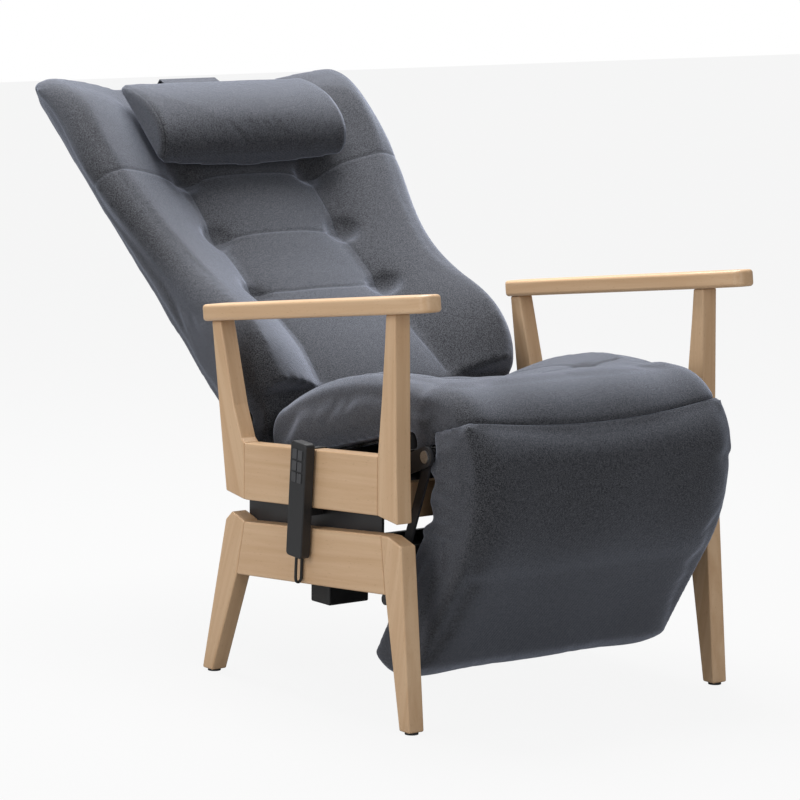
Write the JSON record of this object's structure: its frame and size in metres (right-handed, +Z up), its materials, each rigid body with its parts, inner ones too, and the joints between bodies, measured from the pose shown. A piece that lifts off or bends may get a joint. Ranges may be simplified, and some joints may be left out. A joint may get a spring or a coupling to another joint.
{
  "type": "powered rise-and-recline armchair",
  "caption": "Upholstered armchair on a beech frame, with a powered lift, a reclining back, a hinged leg rest, a head pillow on a counterweighted strap and a corded handset.",
  "frame": {"origin": "middle of the footprint of the whole chair, on the floor", "axes": "+Z is up, the chair faces -Y, and the sitter's right hand is on the -X side"},
  "size_m": [0.7051, 1.2674, 0.972],
  "materials": {
    "beech": "satin",
    "upholstery": "matte",
    "black_steel": "satin",
    "plated_steel": "satin",
    "counterweight": "matte",
    "black_plastic": "matte",
    "button_plastic": "satin",
    "cord_rubber": "matte",
    "plywood": "matte"
  },
  "bodies": {
    "base": {"front_leg_right": "beech", "front_leg_left": "beech", "rear_leg_right": "beech", "rear_leg_left": "beech", "base_rail_right": "beech", "base_rail_left": "beech", "foot_glides": "black_plastic", "base_side_plates": "black_steel", "base_cross_tube_front": "black_steel", "base_cross_tube_rear": "black_steel", "base_bolts": "plated_steel", "base_pivot_pins": "plated_steel", "lift_actuator": "black_plastic", "control_box": "black_plastic", "power_inlet": "black_plastic"},
    "rear_lift_link": {"rear_lift_link": "black_steel"},
    "front_lift_link": {"front_lift_link": "black_steel"},
    "lift_rod": {"lift_rod": "plated_steel"},
    "arm_frame": {"front_post_right": "beech", "front_post_left": "beech", "rear_post_right": "beech", "rear_post_left": "beech", "arm_rail_right": "beech", "arm_rail_left": "beech", "armrest_right": "beech", "armrest_left": "beech", "arm_side_plates": "black_steel", "arm_bolts": "plated_steel", "arm_pivot_pins": "plated_steel", "front_cross_rail": "beech", "handset_front_shell": "black_plastic", "handset_back_shell": "black_plastic", "handset_hook": "black_plastic", "cord_socket": "black_plastic", "handset_cord": "cord_rubber"},
    "seat": {"seat_cushion": "upholstery", "seat_frame": "black_steel", "seat_springs": "plated_steel", "seat_hinge_pins": "plated_steel", "leg_rest_actuator": "black_plastic", "back_actuator": "black_plastic"},
    "back": {"back_cushion": "upholstery", "back_board_frame": "plywood", "back_hinge_shaft": "black_steel", "back_cover": "upholstery", "pillow_strap": "upholstery"},
    "back_rod": {"back_rod": "plated_steel"},
    "leg_rest": {"leg_rest_pad": "upholstery", "leg_rest_frame": "black_steel"},
    "leg_rest_rod": {"leg_rest_rod": "plated_steel"},
    "head_pillow": {"head_pillow": "upholstery"},
    "pillow_counterweight": {"pillow_counterweight": "counterweight"},
    "handset_button_1": {"handset_button_1": "button_plastic"},
    "handset_button_2": {"handset_button_2": "button_plastic"},
    "handset_button_3": {"handset_button_3": "button_plastic"},
    "handset_button_4": {"handset_button_4": "button_plastic"},
    "handset_button_5": {"handset_button_5": "button_plastic"},
    "handset_button_6": {"handset_button_6": "button_plastic"}
  },
  "joints": [
    {"name": "lift", "type": "hinge", "parent": "base", "child": "rear_lift_link", "pos_m": [0, -0.30305, 0.2605], "axis": [1, 0, 0], "range_deg": [0, 60]},
    {"name": "arm_frame_pivot", "type": "hinge", "parent": "rear_lift_link", "child": "arm_frame", "pos_m": [0, -0.10995, 0.3583], "axis": [1, 0, 0], "range_deg": [-47.1, 0]},
    {"name": "front_link_pivot", "type": "hinge", "parent": "base", "child": "front_lift_link", "pos_m": [0, -0.36335, 0.2552], "axis": [1, 0, 0], "range_deg": [0, 62.9]},
    {"name": "lift_rod_slide", "type": "slide", "parent": "base", "child": "lift_rod", "axis": [0, 1, 0], "range_m": [0, 0.0651]},
    {"name": "seat_tilt", "type": "hinge", "parent": "arm_frame", "child": "seat", "pos_m": [0, -0.41145, 0.385], "axis": [-1, 0, 0], "range_deg": [-8.1, 4.9]},
    {"name": "back_recline", "type": "hinge", "parent": "seat", "child": "back", "pos_m": [0, 0.01855, 0.432], "axis": [-1, 0, 0], "range_deg": [-20, 12]},
    {"name": "back_rod_slide", "type": "slide", "parent": "seat", "child": "back_rod", "axis": [0, 0.9668, -0.2554], "range_m": [-0.0277, 0.0461]},
    {"name": "leg_rest_raise", "type": "hinge", "parent": "seat", "child": "leg_rest", "pos_m": [0, -0.50645, 0.435], "axis": [-1, 0, 0], "range_deg": [0, 80]},
    {"name": "leg_rest_rod_slide", "type": "slide", "parent": "seat", "child": "leg_rest_rod", "axis": [0, -0.9668, 0.2554], "range_m": [0, 0.0575]},
    {"name": "head_pillow_slide", "type": "slide", "parent": "back", "child": "head_pillow", "axis": [0, 0.7408, 0.6717], "range_m": [-0.03, 0.02]},
    {"name": "counterweight_slide", "type": "slide", "parent": "back", "child": "pillow_counterweight", "axis": [0, 0.7408, 0.6717], "range_m": [-0.02, 0.03]},
    {"name": "handset_button_1_press", "type": "slide", "parent": "arm_frame", "child": "handset_button_1", "axis": [1, 0, 0], "range_m": [0, 0.0012], "stiffness_N_per_m": 400},
    {"name": "handset_button_2_press", "type": "slide", "parent": "arm_frame", "child": "handset_button_2", "axis": [1, 0, 0], "range_m": [0, 0.0012], "stiffness_N_per_m": 400},
    {"name": "handset_button_3_press", "type": "slide", "parent": "arm_frame", "child": "handset_button_3", "axis": [1, 0, 0], "range_m": [0, 0.0012], "stiffness_N_per_m": 400},
    {"name": "handset_button_4_press", "type": "slide", "parent": "arm_frame", "child": "handset_button_4", "axis": [1, 0, 0], "range_m": [0, 0.0012], "stiffness_N_per_m": 400},
    {"name": "handset_button_5_press", "type": "slide", "parent": "arm_frame", "child": "handset_button_5", "axis": [1, 0, 0], "range_m": [0, 0.0012], "stiffness_N_per_m": 400},
    {"name": "handset_button_6_press", "type": "slide", "parent": "arm_frame", "child": "handset_button_6", "axis": [1, 0, 0], "range_m": [0, 0.0012], "stiffness_N_per_m": 400}
  ],
  "couplings": [
    {"joint": "arm_frame_pivot", "follows": "lift", "ratio": -0.784},
    {"joint": "front_link_pivot", "follows": "lift", "ratio": 1.047},
    {"joint": "lift_rod_slide", "follows": "lift", "m_per_rad": 0.0621},
    {"joint": "seat_tilt", "follows": "back_recline", "ratio": 0.4},
    {"joint": "back_rod_slide", "follows": "back_recline", "m_per_rad": -0.1319},
    {"joint": "leg_rest_rod_slide", "follows": "leg_rest_raise", "m_per_rad": 0.0411},
    {"joint": "counterweight_slide", "follows": "head_pillow_slide", "ratio": -1}
  ]
}
